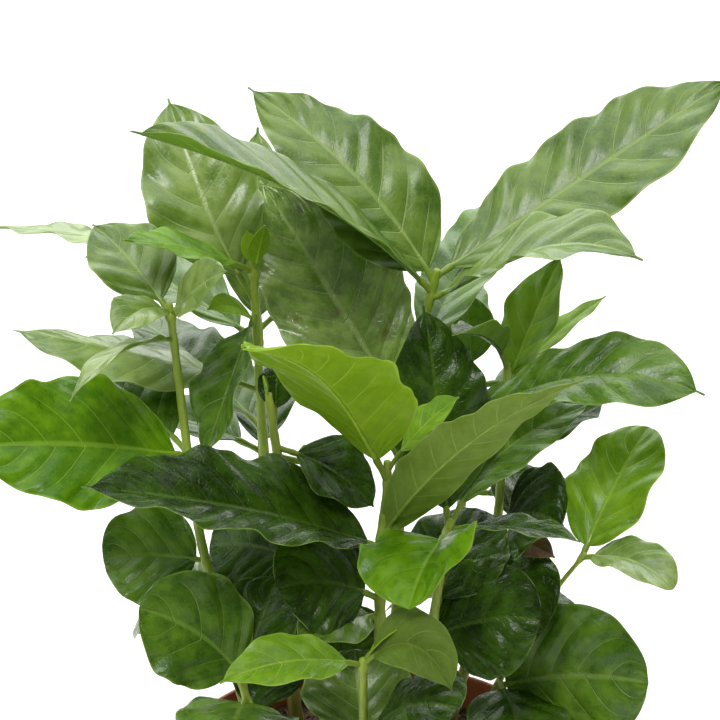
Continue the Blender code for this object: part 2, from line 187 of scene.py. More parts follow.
def makeLeafSkin():
    # the blade's own map is 0.5 on the rib and 0 or 1 at the margin, and counts side veins towards the tip
    # colour: deep to flesh by clouds and streaks times a ramp from vein to vein, where the streaks and the
    # ramp are painted light and shade of the swells between veins; then pale veins, midrib, net and margin,
    # then brown blotches by age; roughness: the leaf's own and some grain
    # height: grain and streaks, less the veins and the net
    form = skinForm
    group, given, out = newGroup("leafSkin", [
        ("Point", "Vector", None), ("Blade", "Vector", None), ("Flesh", "Color", (0.1, 0.2, 0.03, 1)),
        ("Deep", "Color", (0.05, 0.1, 0.02, 1)), ("Vein", "Color", (0.2, 0.3, 0.1, 1)),
        ("Veins", "Float", 0.5), ("Roughness", "Float", 0.25), ("Age", "Float", 0.0),
    ])
    blade = node(group, "SeparateXYZ", Vector=given["Blade"]).outputs
    aside = times(group, maths(group, "ABSOLUTE", maths(group, "SUBTRACT", blade[0], 0.5)), 2.0)
    line = spread(group, maths(group, "PINGPONG", blade[1], 0.5), 0.0, form["vein"], 1.0, 0.0)
    veins = times(group, line, spread(group, aside, *form["veinFade"], 1.0, 0.0))
    toEdge = {"feature": "DISTANCE_TO_EDGE"}
    cells = node(group, "TexVoronoi", toEdge, Vector=given["Point"], Scale=form["net"])
    net = spread(group, cells.outputs[0], 0.0, form["netWidth"], 1.0, 0.0)
    stretch = node(group, "Mapping", Vector=given["Blade"], Scale=form["streaks"])
    streak = noise(group, stretch.outputs[0], 1.0, 2.0)
    broad = noise(group, given["Point"], form["clouds"])
    small = noise(group, given["Point"], form["grain"])
    clouded = plus(group, times(group, broad, 0.5), times(group, small, 0.25))
    # painted light and shade: where the streaks raise the bump they also make the flesh lighter, and darker
    # where it sinks
    toneAndPaintedStreaks = plus(group, clouded, times(group, streak, 0.25))
    # painted shade: the flesh is darkest just past each side vein, on its tip side, and full again halfway to
    # the next
    paintedVeinShade = spread(group, maths(group, "FRACT", blade[1]), 0.0, 0.5, form["paintedVeinShade"], 1.0)
    light = times(group, spread(group, toneAndPaintedStreaks, *form["contrast"]), paintedVeinShade)
    body = mixed(group, light, given["Deep"], given["Flesh"])
    veined = mixed(group, times(group, veins, given["Veins"]), body, given["Vein"])
    midrib = spread(group, aside, *form["midrib"], form["edgeShare"], 0.0)
    ribbed = mixed(group, midrib, veined, given["Vein"])
    netShare = times(group, net, times(group, given["Veins"], form["netShare"]))
    netted = mixed(group, netShare, ribbed, given["Vein"])
    margin = spread(group, aside, *form["margin"], 0.0, form["edgeShare"])
    rimmed = mixed(group, margin, netted, given["Vein"])
    blotch = spread(group, noise(group, given["Point"], form["blotches"], 5.0, 0.6), 0.54, 0.66)
    worn = mixed(group, times(group, blotch, given["Age"]), rimmed, paint(*form["worn"]))
    group.links.new(worn, out["Color"])
    rough = plus(group, given["Roughness"], spread(group, small, 0.3, 0.7, -0.05, 0.07))
    group.links.new(rough, out["Roughness"])
    swell = plus(group, times(group, small, 0.35), streak)
    sunk = maths(group, "SUBTRACT", swell, times(group, veins, form["veinDepth"]))
    group.links.new(maths(group, "SUBTRACT", sunk, times(group, net, form["netDepth"])), out["Height"])
    return group


def makeGrit():
    # coarse and fine noise for anything dry: two colours mixed by it, with a rough height
    group, given, out = newGroup("grit", [
        ("Point", "Vector", None), ("Light", "Color", (0.2, 0.15, 0.1, 1)),
        ("Dark", "Color", (0.05, 0.03, 0.02, 1)), ("Coarse", "Float", 80.0), ("Fine", "Float", 600.0),
        ("Roughness", "Float", 0.8),
    ])
    coarse = noise(group, given["Point"], given["Coarse"], 4.0)
    fine = noise(group, given["Point"], given["Fine"], 3.0)
    both = plus(group, times(group, coarse, 0.6), times(group, fine, 0.4))
    share = spread(group, both, 0.35, 0.65)
    group.links.new(mixed(group, share, given["Dark"], given["Light"]), out["Color"])
    rough = plus(group, given["Roughness"], spread(group, fine, 0.3, 0.7, -0.06, 0.06))
    group.links.new(rough, out["Roughness"])
    group.links.new(both, out["Height"])
    return group


leafSkin = makeLeafSkin()
grit = makeGrit()


def newMaterial(name):
    material = bpy.data.materials.new(name)
    material.use_nodes = True
    tree = material.node_tree
    return material, tree, tree.nodes["Principled BSDF"], tree.nodes.new("ShaderNodeTexCoord").outputs


def dressShader(tree, shader, effect, strength, distance, colour=None, rough=None):
    # the group's colour, roughness and height into the shader, or another colour or roughness if one is given
    tree.links.new(colour or effect.outputs["Color"], shader.inputs["Base Color"])
    tree.links.new(rough or effect.outputs["Roughness"], shader.inputs["Roughness"])
    bump = node(tree, "Bump", Strength=strength, Distance=distance, Height=effect.outputs["Height"])
    tree.links.new(bump.outputs[0], shader.inputs["Normal"])


def leafMaterial(name, look):
    material, tree, shader, at = newMaterial(name)
    skin = node(tree, "Group", {"node_tree": leafSkin}, Point=at["Object"], Blade=at["UV"],
                Flesh=paint(*look["flesh"]), Deep=paint(*look["deep"]), Vein=paint(*look["vein"]),
                Veins=look["veins"], Roughness=look["rough"], Age=look["age"])
    dressShader(tree, shader, skin, look["bump"], 0.0004)
    shader.inputs["Specular IOR Level"].default_value = look["specular"]
    shader.inputs["Coat Weight"].default_value = look["wax"]
    shader.inputs["Coat Roughness"].default_value = 0.15
    return material


def gritNode(tree, point, look):
    return node(tree, "Group", {"node_tree": grit}, Point=point, Light=paint(*look["light"]),
                Dark=paint(*look["dark"]), Coarse=look["coarse"], Fine=look["fine"], Roughness=look["rough"])


def gritMaterial(name, look):
    material, tree, shader, at = newMaterial(name)
    dressShader(tree, shader, gritNode(tree, at["Object"], look), look["bump"], 0.001)
    return material


def leafLook(flesh, deep, vein, rough, specular=0.5, wax=0.0, bump=0.35, veins=0.75, age=0.0):
    # flesh, deep: the lightest and darkest green; vein, veins: their colour, and how much they show
    return {"flesh": flesh, "deep": deep, "vein": vein, "rough": rough, "specular": specular, "wax": wax,
            "bump": bump, "veins": veins, "age": age}


leafLooks = {
    # pale: flesh greyed and lightened, partly the leaf's green and partly a painted sheen
    "pale": leafLook((134, 160, 68), (86, 120, 24), (160, 184, 104), 0.37, 0.75, 0.2, 0.6),
    # soft: a darker copy of pale, painted shade for leaves that face the lamps more than the rest
    "soft": leafLook((104, 134, 40), (64, 98, 16), (148, 172, 92), 0.37, 0.5, 0.16, 0.6),
    "mid": leafLook((98, 136, 28), (54, 92, 8), (126, 156, 62), 0.30, 0.35, 0.1, 0.8),
    "dark": leafLook((60, 94, 12), (24, 48, 3), (84, 112, 34), 0.25, 0.2, 0.12, 1.3, veins=0.55),
    # an old leaf: brown blotches of age, and flesh made light as painted sheen and against the shade of the
    # leaves above
    "aged": leafLook((152, 178, 92), (84, 116, 36), (176, 196, 122), 0.26, 0.9, 0.6, 1.0, age=0.6),
    "bright": leafLook((108, 154, 10), (66, 112, 4), (134, 172, 48), 0.32, 0.2, 0.05, 0.6),
    # a young green made lighter by painted light shining through the thin blade
    "fresh": leafLook((126, 166, 24), (92, 136, 12), (160, 188, 66), 0.32, 0.35, 0.1, 0.6),
    "matte": leafLook((118, 146, 50), (102, 130, 38), (146, 168, 78), 0.5, 0.25),
    "dull": leafLook((98, 124, 40), (82, 108, 28), (124, 148, 64), 0.5, 0.25),
    # lime: young leaves' own light green, made brighter by painted light shining through
    "lime": leafLook((136, 172, 26), (116, 156, 18), (164, 194, 64), 0.42, 0.25),
    "dry": leafLook((120, 82, 50), (70, 46, 30), (150, 112, 72), 0.6),
    # under: the lower face's paler green, made brighter and more saturated by painted light shining through
    "under": leafLook((112, 150, 30), (96, 136, 22), (146, 176, 74), 0.45, 0.3),
}
# the lower face of a leaf, where it isn't "under"
underOf = {"lime": "lime", "fresh": "lime", "matte": "matte", "dull": "dull", "dry": "dry"}
leafMaterials = {name: leafMaterial(name + "Leaf", look) for name, look in leafLooks.items()}
ribLooks = {name: look | {"flesh": look["vein"], "deep": look["flesh"], "age": 0.0}
            for name, look in leafLooks.items()}
ribMaterials = {name: leafMaterial(name + "Rib", look) for name, look in ribLooks.items()}
petioleLook = leafLook((130, 154, 50), (112, 138, 36), (130, 154, 50), 0.4, 0.35)
ribMaterials["petiole"] = leafMaterial("petiole", petioleLook)
print("materials for", len(leafMaterials), "kinds of leaf surface")


# the seedlings

leafKinds = {
    "long": {"petiole": 8.0, "fold": 14.0, "cup": 0.05, "waves": 1.0},
    "round": {"petiole": 6.0, "fold": 5.0, "cup": 0.10, "waves": 1.0},
    "young": {"petiole": 3.0, "fold": 14.0, "cup": 0.05, "waves": 0.3},
}


def leafAt(height, heading, rise, reach, width, arch, tint, kind="long", **more):
    # a leaf that leaves the stem at a height, with its tip reach away; a pair of values is near root and tip
    # heading: 0 right, 90 back, -90 front; rise: above level
    # arch, sway: how far the rib is lifted off a straight line, and pushed to its left
    # roll, twist: turn of the blade at its root, and more by the tip
    # fold, cup: each half turned up at the rib, and curved down again; furl: more fold at the tip
    # broad: where the blade is widest; waves: size of the margin's waves
    return {"height": height, "heading": heading, "rise": rise, "reach": reach, "width": width, "arch": arch,
            "tint": tint, "kind": kind, "broad": 0.45, "sway": (0, 0), "roll": 0.0, "twist": 0.0, "furl": 0.0,
            **leafKinds[kind], **more}


# each seedling: the points its stem passes, its radius at the soil, and the leaves of its one or two masses
seedlings = {
    "tall_right": {
        "path": [(7, 14, 97), (9, 12, 164), (10, 8, 206), (18, 8, 252), (20, 8, 261)],
        "radius": 2.1,
        "crown": [
            leafAt(198, -146, 50, 37, 22, (4, 4), "dark", roll=-20),
            leafAt(207, -14, 14, 94, 27, (5, 22), "mid", roll=8, twist=32, petiole=18, broad=0.72),
            leafAt(216, 151, 52, 83, 43, (0, 3), "aged", roll=-48, broad=0.36, sway=(2, 3)),
            leafAt(232, 67, 19, 90, 25, (4, 6), "mid"),
            leafAt(252, -25, 18, 70, 34, (5, 17), "soft", roll=10, fold=18, petiole=4, broad=0.58),
            leafAt(254, -157, 33, 111, 34, (12, 8), "soft", roll=-13, twist=8, petiole=5, broad=0.56,
                   furl=50, waves=0.4),
            leafAt(257, 149, 38, 83, 36, (12, 10), "soft", roll=-34, fold=6, petiole=4, broad=0.28,
                   sway=(3, 6)),
            leafAt(259, 17, 30, 108, 36, (0, 0), "soft", roll=30, fold=10, petiole=5, broad=0.52),
        ],
    },
    "tall_left": {
        "path": [(-22, 15, 97), (-29, 14, 163), (-33, 12, 211), (-34, 12, 236), (-35, 12, 264)],
        "radius": 2.1,
        "crown": [
            leafAt(208, 120, 5, 92, 30, (4, 6), "mid"),
            leafAt(221, 178, 14, 77, 25, (4, 2), "pale", roll=-12, fold=-14),
            leafAt(246, -131, -59, 46, 26, (8, 5), "mid", roll=14, petiole=4, broad=0.5, fold=24,
                   sway=(6, 5)),
            leafAt(243, -134, 25, 22, 10, (3, 4), "lime", "young", roll=-30),
            leafAt(250, 131, 53, 68, 36, (1, 4), "pale", roll=-28, petiole=9, broad=0.42, sway=(6, 6)),
            leafAt(259, -142, 23, 50, 17, (3, 3), "bright", roll=-16, fold=10),
            leafAt(260, 152, -1, 97, 25, (2, 4), "pale", roll=8, fold=8),
            leafAt(259, -63, 65, 19, 7, (0, 0), "lime", "young"),
            leafAt(259, 111, 62, 13, 6, (0, 0), "lime", "young"),
        ],
    },
    "centre": {
        "path": [(3, -12, 97), (3, -20, 166), (3, -24, 186), (5, -25, 207), (5, -25, 213)],
        "radius": 2.3,
        "seed_leaves": [
            leafAt(166, -155, 17, 35, 36, (4, 6), "dark", "round", roll=-55),
            leafAt(160, -138, 3, 33, 22, (3, 4), "soft", roll=-20, petiole=4),
        ],
        "crown": [
            leafAt(185, -166, 18, 93, 41, (5, 3), "dark", roll=-18, fold=22, petiole=4, broad=0.41),
            leafAt(188, -34, 44, 93, 20, (8, 8), "matte", roll=-70, twist=40, petiole=2, broad=0.34),
            leafAt(207, -128, 43, 88, 48, (11, 14), "lime", roll=10, waves=0.6, sway=(-4, 2)),
            leafAt(210, -14, 50, 33, 14, (2, 2), "fresh", roll=30),
        ],
    },
    "left": {
        "path": [(-34, 0, 97), (-48, -10, 167), (-50, -12, 177), (-55, -8, 213), (-57, -8, 235),
                 (-59, -8, 256)],
        "radius": 1.8,
        "seed_leaves": [
            leafAt(170, 129, -39, 53, 24, (2, 3), "mid", "round", roll=-40),
            leafAt(175, 170, -4, 32, 32, (2, 3), "mid", "round", roll=-55, petiole=3, fold=16),
        ],
        "crown": [
            leafAt(208, -162, 9, 71, 43, (3, 4), "bright", roll=-48, petiole=4),
            leafAt(209, 131, 14, 53, 26, (3, 4), "mid", roll=-5),
            leafAt(245, -133, -11, 42, 14, (8, 8), "pale", roll=20, petiole=3),
            leafAt(253, -128, 2, 25, 16, (6, 5), "pale", roll=-16, petiole=3),
            leafAt(253, -52, 36, 36, 17, (1, 2), "pale", roll=60, petiole=3),
            leafAt(253, 139, 33, 38, 27, (2, 3), "soft", roll=-18, petiole=5),
        ],
    },
    "front": {
        "path": [(-2, -41, 97), (-2, -48, 138), (-2, -51, 154), (-2, -52, 162)],
        "radius": 1.6,
        "crown": [
            leafAt(130, 98, 50, 30, 34, (2, 2), "soft", "round"),
            leafAt(131, -38, 34, 42, 34, (8, 8), "dark", "round", roll=24),
            leafAt(160, -153, 6, 46, 19, (5, 6), "fresh", roll=-24, petiole=5),
            leafAt(160, -24, -5, 28, 22, (14, 15), "dull", roll=40, petiole=3, fold=30),
            leafAt(161, -4, 45, 20, 6, (2, 2), "lime", "young"),
        ],
    },
    "far_right": {
        "path": [(28, 2, 97), (39, 8, 120), (50, 10, 142), (57, 4, 157), (65, -11, 177)],
        "radius": 1.1,
        "tip": 0.65,
        "seed_leaves": [
            leafAt(124, -80, -12, 50, 32, (4, 6), "dark", "round"),
            leafAt(122, -30, 16, 54, 45, (4, 4), "mid", "round", roll=80, petiole=4),
        ],
        "crown": [
            leafAt(175, 48, 46, 46, 30, (2, 3), "fresh", "round", fold=12, petiole=4),
            leafAt(175, -36, -3, 32, 19, (5, 7), "pale", "round", roll=12, fold=20, petiole=4),
        ],
    },
    "right": {
        "path": [(24, 14, 97), (40, 15, 180), (41, 16, 203), (42, 16, 228)],
        "radius": 1.9,
        "seed_leaves": [
            leafAt(149, -47, 0, 27, 41, (3, 4), "dark", "round", roll=66, petiole=3),
            leafAt(153, 142, -24, 40, 26, (3, 4), "dark", "round"),
        ],
        "crown": [
            leafAt(171, -36, -3, 22, 11, (2, 2), "dry", "young", roll=30),
            leafAt(173, 48, 5, 41, 40, (3, 4), "dark"),
            leafAt(176, -37, 12, 25, 34, (4, 5), "dark", roll=45, petiole=5),
            leafAt(196, 57, 3, 56, 30, (2, 4), "dark"),
            leafAt(221, 30, 64, 43, 24, (0, 0), "fresh", roll=6, petiole=4),
            leafAt(222, 30, 31, 42, 10, (2, 2), "lime"),
            leafAt(226, -118, 32, 45, 16, (9, 5), "dark", roll=10, fold=30),
        ],
    },
    "inner_right": {
        "path": [(16, -9, 97), (20, -18, 165), (23, -20, 186), (24, -20, 192)],
        "radius": 2.0,
        "seed_leaves": [
            leafAt(152, -10, 14, 34, 37, (3, 4), "dark", "round", roll=64, petiole=3),
            leafAt(159, 62, 40, 38, 34, (3, 3), "dark", "round"),
        ],
        "crown": [
            leafAt(189, -108, -11, 41, 42, (3, 6), "bright", "round", roll=16, fold=30, petiole=8),
            leafAt(188, 107, 68, 68, 33, (2, 5), "dark", petiole=7),
            leafAt(189, 36, 27, 61, 19, (10, 6), "mid", roll=20, sway=(4, 4)),
            leafAt(189, -31, 8, 44, 14, (4, 3), "dark", fold=16),
        ],
    },
    "inner_left": {
        "path": [(-11, -8, 97), (-21, -12, 175), (-28, -14, 214), (-30, -14, 230)],
        "radius": 2.1,
        "seed_leaves": [
            leafAt(132, -165, 34, 36, 34, (2, 3), "dark", "round", roll=-58),
            leafAt(132, 18, 34, 27, 28, (2, 3), "dark", "round", roll=58),
            leafAt(162, 143, -17, 44, 26, (3, 4), "dark", "round", roll=-50),
            leafAt(175, 145, -7, 35, 30, (3, 4), "dark", "round", roll=-50),
        ],
        "crown": [
            leafAt(213, -8, -31, 34, 26, (4, 4), "dark", roll=24, petiole=6),
            leafAt(210, 36, -38, 38, 26, (4, 4), "mid", roll=10),
            leafAt(217, 80, 70, 22, 12, (1, 1), "dark"),
            leafAt(227, 180, 78, 9, 6, (0, 0), "lime", "young"),
        ],
    },
    "front_left": {
        "path": [(-24, -18, 97), (-37, -30, 137), (-39, -32, 148)],
        "radius": 1.7,
        "crown": [
            leafAt(137, -97, 5, 37, 36, (4, 5), "mid", "round", roll=-5),
            leafAt(137, 155, -42, 38, 24, (3, 3), "mid", "round"),
            leafAt(146, -170, 40, 39, 35, (5, 5), "mid", "round", roll=-62, petiole=3, cup=-0.08),
            leafAt(144, 55, 56, 34, 32, (2, 2), "dark"),
        ],
    },
    "back_left": {
        "path": [(-24, 34, 97), (-31, 42, 150), (-35, 50, 205), (-35, 53, 228)],
        "radius": 2.0,
        "seed_leaves": [
            leafAt(142, 164, -7, 34, 34, (4, 5), "dark", "round"),
            leafAt(142, 64, -7, 46, 34, (4, 5), "dark", "round"),
        ],
        "crown": [
            leafAt(186, 156, 2, 56, 32, (6, 8), "mid"),
            leafAt(183, 94, 5, 70, 26, (8, 10), "dark"),
            leafAt(222, 91, 71, 68, 28, (3, 3), "pale", roll=-20),
            leafAt(222, 151, 15, 68, 34, (4, 8), "mid"),
            leafAt(226, 38, 19, 74, 30, (4, 8), "mid"),
        ],
    },
    "back_right": {
        "path": [(22, 34, 97), (28, 44, 150), (32, 52, 195), (33, 54, 213)],
        "radius": 2.0,
        "seed_leaves": [
            leafAt(136, -2, -10, 46, 34, (4, 5), "dark", "round"),
            leafAt(136, 78, -7, 48, 34, (4, 5), "dark", "round"),
        ],
        "crown": [
            leafAt(172, 6, -18, 54, 32, (4, 7), "dark"),
            leafAt(172, 94, -4, 64, 34, (8, 10), "mid"),
            leafAt(206, 100, 69, 31, 17, (3, 3), "mid"),
            leafAt(206, 18, -1, 52, 28, (2, 3), "mid"),
            leafAt(210, 95, 10, 67, 20, (6, 10), "mid"),
        ],
    },
}

leafForm = {
    # lengths in mm; a share is of the leaf's width, if nothing else is said
    "thickness": 0.36, "thinner": 0.45,  # how much of it is lost at the margin
    "row": 1.0, "columns": 28,  # distance between rows along the rib
    "thinnest": 0.35,  # half the width where the blade starts and ends
    "waveShare": 0.045, "waveLength": 32.0,  # the margin's long waves
    "rippleShare": 0.022,  # its ripples, in step with the side veins
    "quiltShare": 0.03, "furrow": (0.02, 0.14),  # the swells between those veins, and how soft a furrow is
    "strayShare": 0.04, "strayTurns": 9,  # how far the outline strays from an even curve
    "phases": (2.4, 2.1),  # how far all waves are shifted from leaf to leaf, and from half to half
    "veinShifts": (0.1, 0.25),  # the same for the side veins
    "veinSpacing": 11.5, "veinCount": (4, 9),
    "veinSlant": 0.9, "veinCurve": 0.3,  # how far they turn ahead on the way out, and how much of it late
    "veinStray": 0.018, "veinStrayTurns": 7,
    "swellPower": 2.1, "outlinePower": 0.85,  # the outline of a long blade, and of its drip tip
    "dripStart": 0.97, "dripShare": 0.09, "dripPower": 0.6,
    "petioleRadius": 0.80, "petioleFlare": 0.25,  # how much thicker it is at both its ends
    "ribShare": 0.62, "ribTip": 0.14,  # the midrib's radius: its share of the petiole's, and at its end
    "ribSink": 0.55, "ribEntry": 0.10,  # how deep it lies, of its radius, and how soon, of the reach
    "ribEnd": 0.97, "ribRow": 1.6, "ribSides": 10,
}


def stemPoint(path, heights):
    # a cubic between two of the stem's points, with each point's mean slope
    path = np.array(path, float)
    z = path[:, 2]
    slope = np.gradient(path[:, :2], z, axis=0)
    low = np.clip(np.searchsorted(z, heights) - 1, 0, len(z) - 2)
    span = (z[low + 1] - z[low])[:, None]
    t = (heights - z[low])[:, None] / span
    xy = (path[low, :2] * (2 * t**3 - 3 * t**2 + 1) + slope[low] * span * (t**3 - 2 * t**2 + t)
          + path[low + 1, :2] * (3 * t**2 - 2 * t**3) + slope[low + 1] * span * (t**3 - t**2))
    return np.concatenate([xy, heights[:, None]], axis=1)


def halfWidth(leaf, q):
    # an ellipse for a round leaf, and for any other a swell to the broad point that ends in a narrow drip tip
    form = leafForm
    if leaf["kind"] == "round":
        return np.clip(4 * q * (1 - q), 0, 1) ** 0.5
    side = np.where(q < leaf["broad"], leaf["broad"], form["dripStart"] - leaf["broad"])
    body = np.clip(1 - (np.abs(q - leaf["broad"]) / side) ** form["swellPower"], 0, 1) ** form["outlinePower"]
    drip = np.where(q > leaf["broad"], form["dripShare"] * (1 - q) ** form["dripPower"], 0)
    return np.maximum(body, drip)


def leafRib(leaf, root, s):
    # points, side and upper directions along a cubic curve whose middle is lifted off the straight line
    heading = math.radians(leaf["heading"])
    rise = math.radians(leaf["rise"])
    level = np.array([-math.sin(heading), math.cos(heading), 0.0])
    ahead = np.array([math.cos(heading), math.sin(heading), 0.0])
    chord = leaf["reach"] * (ahead * math.cos(rise) + np.array([0, 0, math.sin(rise)]))
    lift = np.cross(chord, level) / leaf["reach"]
    near = root + chord / 3 + lift * leaf["arch"][0] + level * leaf["sway"][0]
    far = root + chord * 2 / 3 + lift * leaf["arch"][1] + level * leaf["sway"][1]
    tip = root + chord
    s = s[:, None]
    points = root * (1 - s) ** 3 + 3 * near * s * (1 - s) ** 2 + 3 * far * s**2 * (1 - s) + tip * s**3
    forward = (near - root) * (1 - s) ** 2 + 2 * (far - near) * s * (1 - s) + (tip - far) * s**2
    forward /= np.linalg.norm(forward, axis=1)[:, None]
    side = level - forward * (forward @ level)[:, None]
    side /= np.linalg.norm(side, axis=1)[:, None]
    upper = np.cross(forward, side)
    turn = np.radians(leaf["roll"] + leaf["twist"] * s)
    return points, np.cos(turn) * side + np.sin(turn) * upper, np.cos(turn) * upper - np.sin(turn) * side


def leafBlade(leaf, root, order, upperSlot, lowerSlot):
    # the blade as a closed shell: out from the rib by the half width, whose outline strays by two sines, and
    # lifted by fold, less cup, by the margin's long waves and its ripples in step with the side veins, and by
    # swells between those veins: the rounded size of a sine that is zero on each vein
    form = leafForm
    blade = leaf["reach"] - leaf["petiole"]
    rows = max(int(blade / form["row"]), 12)
    columns = form["columns"]
    petiole = leaf["petiole"] / leaf["reach"]
    ease = np.linspace(0, 1, rows + 1)
    q = 0.5 * ease + 0.5 * (0.5 - 0.5 * np.cos(np.pi * ease))  # rows lie closer at both ends
    s = petiole + (1 - petiole) * q
    v = np.linspace(-1, 1, columns + 1)[None, :]
    aside = np.abs(v)
    points, side, upper = leafRib(leaf, root, s)
    q2 = q[:, None]
    leafPhase, halfPhase = form["phases"]
    leafShift, halfShift = form["veinShifts"]
    phase = leafPhase * order + halfPhase * (v > 0)
    slant = form["veinSlant"] * leaf["width"] / 2 / blade
    outward = (1 - form["veinCurve"]) * aside + form["veinCurve"] * aside**2
    stray = form["veinStray"] * np.sin(form["veinStrayTurns"] * q2 + phase)
    count = int(np.clip(round(blade / form["veinSpacing"]) + 1, *form["veinCount"]))
    veins = count * (q2 + stray - slant * outward) + halfShift * (v > 0) + leafShift * order
    inStep = np.sin(np.pi * veins) ** 2
    swell = np.sqrt(inStep + form["furrow"][0]) - form["furrow"][1]
    grow = np.sin(np.pi * np.clip(q2, 0.001, 0.999)) ** 0.5
    bulge = inStep - 0.5 + np.sin(form["strayTurns"] * q2 + 2 * phase)
    half = np.maximum(leaf["width"] / 2 * halfWidth(leaf, q), form["thinnest"])[:, None]
    half = half * (1 + form["strayShare"] * leaf["waves"] * grow * aside**2 * bulge)
    turns = 1 + leaf["reach"] / form["waveLength"]
    wave = leaf["waves"] * form["waveShare"] * leaf["width"] * grow * np.sin(math.tau * turns * q2 + phase)
    ripple = leaf["waves"] * form["rippleShare"] * leaf["width"] * grow * (inStep - 0.5) * aside**3
    quilt = (leaf["width"] * form["quiltShare"] * grow * swell
             * np.clip(aside * 3, 0, 1) * (1 - 0.8 * aside**2))  # flat at the rib and low at the margin
    fold = np.radians(leaf["fold"] + leaf["furl"] * q2**6)
    lift = half * (np.sin(fold) * aside - leaf["cup"] * aside**2) + wave * aside**2 + ripple + quilt
    out = v * half * np.cos(fold)
    sheet = points[:, None] + side[:, None] * out[..., None] + upper[:, None] * lift[..., None]
    normal = np.cross(np.gradient(sheet, axis=0), np.gradient(sheet, axis=1))
    normal /= np.maximum(np.linalg.norm(normal, axis=2), 1e-9)[..., None]
    thick = form["thickness"] / 2 * (1 - form["thinner"] * aside**6)
    top = sheet + normal * thick[..., None]
    bottom = sheet - normal * thick[..., None]
    shell = np.concatenate([top, bottom[:, ::-1]], axis=1)
    sides = 2 * (columns + 1)
    quads = ringQuads(rows + 1, sides)
    slots = np.tile(np.where(np.arange(sides) < columns, upperSlot, lowerSlot), rows)
    first = np.arange(columns)
    last = rows * sides + first
    end = rows * sides + sides - 1 - first
    cap = np.stack([first, first + 1, sides - 2 - first, sides - 1 - first], axis=1)
    quads = np.concatenate([quads, cap, np.stack([last + 1, last, end, end - 1], axis=1)])
    slots = np.concatenate([slots, np.full(2 * columns, lowerSlot)])
    flat = np.stack(np.broadcast_arrays(0.5 + v / 2, veins), axis=-1)
    uv = np.concatenate([flat, flat[:, ::-1]], axis=1).reshape(-1, 2)
    return shell.reshape(-1, 3), quads, slots, uv


def leafStalk(leaf, root, petioleSlot, ribSlot):
    # petiole and midrib in one tube that tapers to the tip, and sinks into the blade until only its top shows
    form = leafForm
    s = np.linspace(0, form["ribEnd"], max(int(leaf["reach"] / form["ribRow"]), 14))
    points, _, upper = leafRib(leaf, root, s)
    petiole = leaf["petiole"] / leaf["reach"]
    size = min(1.0, 0.5 + leaf["width"] / 60)  # narrow leaves have thinner ones
    along = np.clip((s - petiole) / (1 - petiole), 0, 1)
    entered = np.clip((s - petiole) / form["ribEntry"], 0, 1)
    thick = form["petioleRadius"] * size * (1 - (1 - form["ribShare"]) * entered)
    radii = thick * (1 - along) ** 0.8 + form["ribTip"]
    radii[s < petiole] *= 1.0 + form["petioleFlare"] * np.cos(np.pi * s[s < petiole] / petiole) ** 2
    middle = points - upper * (radii * entered * form["ribSink"])[:, None]
    points, quads, _, uv = tube(middle, radii, form["ribSides"])
    ring = np.concatenate([np.zeros(3), s, np.ones(2)])  # s along the whole tube, with its ends
    return points, quads, np.repeat(np.where(ring < petiole, petioleSlot, ribSlot), form["ribSides"]), uv


def massesOf(seedling):
    return [(part, seedling[part]) for part in ("seed_leaves", "crown") if part in seedling]


def growSeedling(place, seedling):
    # one piece of leaves for each mass; the petioles and midribs are returned, for one joined piece
    stalks = []
    for part, leaves in massesOf(seedling):
        blades = []
        faces = [(leaf["tint"], underOf.get(leaf["tint"], "under")) for leaf in leaves]
        used = sorted({name for pair in faces for name in pair})
        for order, leaf in enumerate(leaves):
            root = stemPoint(seedling["path"], np.array([float(leaf["height"])]))[0]
            blades.append(leafBlade(leaf, root, order, *(used.index(name) for name in faces[order])))
            stalks.append(leafStalk(leaf, root, ribNames.index("petiole"), ribNames.index(leaf["tint"])))
        piece = arrayMesh(f"leaves_{part}_{place}", [leafMaterials[name] for name in used], *joined(blades))
        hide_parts(f"{part}_{place}")
        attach(piece, "root")
    return stalks


ribNames = list(ribMaterials)
stalks = [stalk for place, seedling in seedlings.items() for stalk in growSeedling(place, seedling)]
petioles = arrayMesh("petioles_and_midribs", list(ribMaterials.values()), *joined(stalks))
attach(petioles, "root")
print("leaves grown:", len(stalks))


# stems

stemForm = {
    "soil": 97.0, "below": 3,  # the height where a stem leaves the soil, and how far it goes on below
    "tip": 1.15,
    "flare": 0.35, "flareHeight": 2.5,  # how much wider it is at the soil, and how high that reaches
    "knot": 0.42, "knotHeight": 1.5, "knotDrop": 0.6,  # the swelling at a pair of leaves, how far below
    "ring": 0.9, "sides": 20, "ridge": 0.05, "ridges": 5,
}
barkLook = {"light": (158, 178, 62), "dark": (126, 150, 42), "coarse": 220.0, "fine": 1500.0, "rough": 0.5,
            "corkLight": (148, 122, 74), "corkDark": (100, 76, 44),
            "change": (0.125, 0.165)}  # the heights in metres between which cork turns to green


def barkMaterial():
    # green above, turning brown and corky towards the soil, by height
    look = barkLook
    material, tree, shader, at = newMaterial("youngBark")
    stretch = node(tree, "Mapping", Vector=at["Object"], Scale=(1.0, 1.0, 0.22))
    bark = gritNode(tree, stretch.outputs[0], look)
    height = node(tree, "SeparateXYZ", Vector=at["Object"]).outputs[2]
    blotch = times(tree, noise(tree, at["Object"], 60.0), 0.05)
    up = spread(tree, plus(tree, height, blotch), *look["change"])
    tree.links.new(mixed(tree, up, paint(*look["corkLight"]), paint(*look["light"])), bark.inputs["Light"])
    tree.links.new(mixed(tree, up, paint(*look["corkDark"]), paint(*look["dark"])), bark.inputs["Dark"])
    dressShader(tree, shader, bark, 0.5, 0.0005)
    return material


